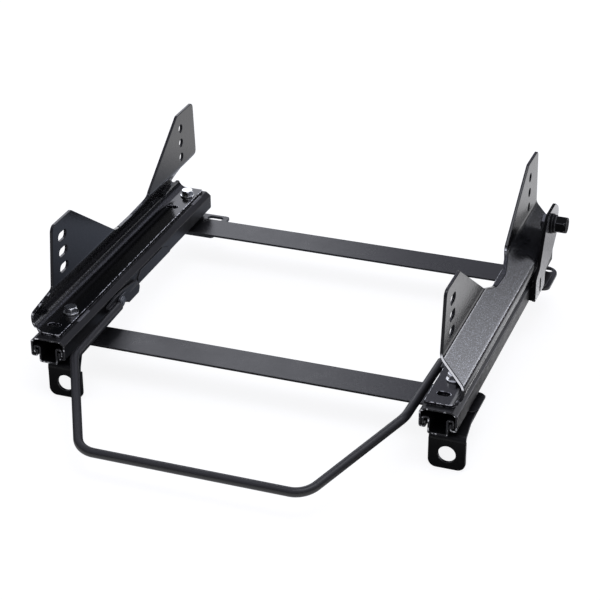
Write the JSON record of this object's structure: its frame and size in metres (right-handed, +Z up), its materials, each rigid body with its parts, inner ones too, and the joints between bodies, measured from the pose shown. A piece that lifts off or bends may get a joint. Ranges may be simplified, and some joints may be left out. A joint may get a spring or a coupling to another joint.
{
  "type": "seat slide rail",
  "caption": "Pair of locking seat slides on flat cross bars, with folded side brackets holed for a side-mounted seat, a lift-up release handle and a belt anchor",
  "frame": {"origin": "middle of the part's box, on the floor plane that the front tongues stand on", "axes": "+X to the right side with the belt anchor, +Y to the rear along the slides, +Z up"},
  "size_m": [0.4594, 0.4965, 0.1736],
  "materials": {
    "black_paint": "satin black paint",
    "gloss_black": "gloss black powder coat",
    "zinc": "bright zinc plate",
    "steel": "plain steel"
  },
  "bodies": {
    "floor_frame": {"lower_rail_left": "black_paint", "lower_rail_right": "black_paint", "front_crossbar": "gloss_black", "rear_crossbar": "gloss_black", "front_foot_left": "black_paint", "front_foot_right": "black_paint", "rear_foot_left": "black_paint", "rear_foot_right": "black_paint", "frame_rivets": "steel"},
    "seat_carriage": {"upper_rail_left": "gloss_black", "upper_rail_right": "gloss_black", "side_bracket_left": "gloss_black", "side_bracket_right": "gloss_black", "bracket_bolts": "zinc", "bracket_nuts": "steel", "latch_covers": "gloss_black", "pivot_studs": "zinc", "pivot_clips": "zinc", "lever_springs": "steel", "belt_anchor": "gloss_black", "belt_bolt": "black_paint", "belt_washer": "black_paint", "belt_nut": "steel"},
    "release": {"release_handle": "black_paint", "lock_lever_left": "black_paint", "lock_lever_right": "black_paint"},
    "cage_set_left": {"cages_left": "zinc", "balls_left": "steel"},
    "cage_set_right": {"cages_right": "zinc", "balls_right": "steel"}
  },
  "joints": [
    {"name": "seat_slide", "type": "slide", "parent": "floor_frame", "child": "seat_carriage", "axis": [0, 1, 0], "range_m": [-0.1, 0.06]},
    {"name": "release_lift", "type": "hinge", "parent": "seat_carriage", "child": "release", "pos_m": [0, -0.01175, 0.054], "axis": [-1, 0, 0], "range_deg": [-2.7, 1.5], "stiffness_Nm_per_rad": 15, "springref_deg": 2.06},
    {"name": "cage_left_roll", "type": "slide", "parent": "floor_frame", "child": "cage_set_left", "axis": [0, 1, 0], "range_m": [-0.051, 0.031]},
    {"name": "cage_right_roll", "type": "slide", "parent": "floor_frame", "child": "cage_set_right", "axis": [0, 1, 0], "range_m": [-0.051, 0.031]}
  ],
  "couplings": [
    {"joint": "cage_left_roll", "follows": "seat_slide", "ratio": 0.5},
    {"joint": "cage_right_roll", "follows": "seat_slide", "ratio": 0.5}
  ]
}
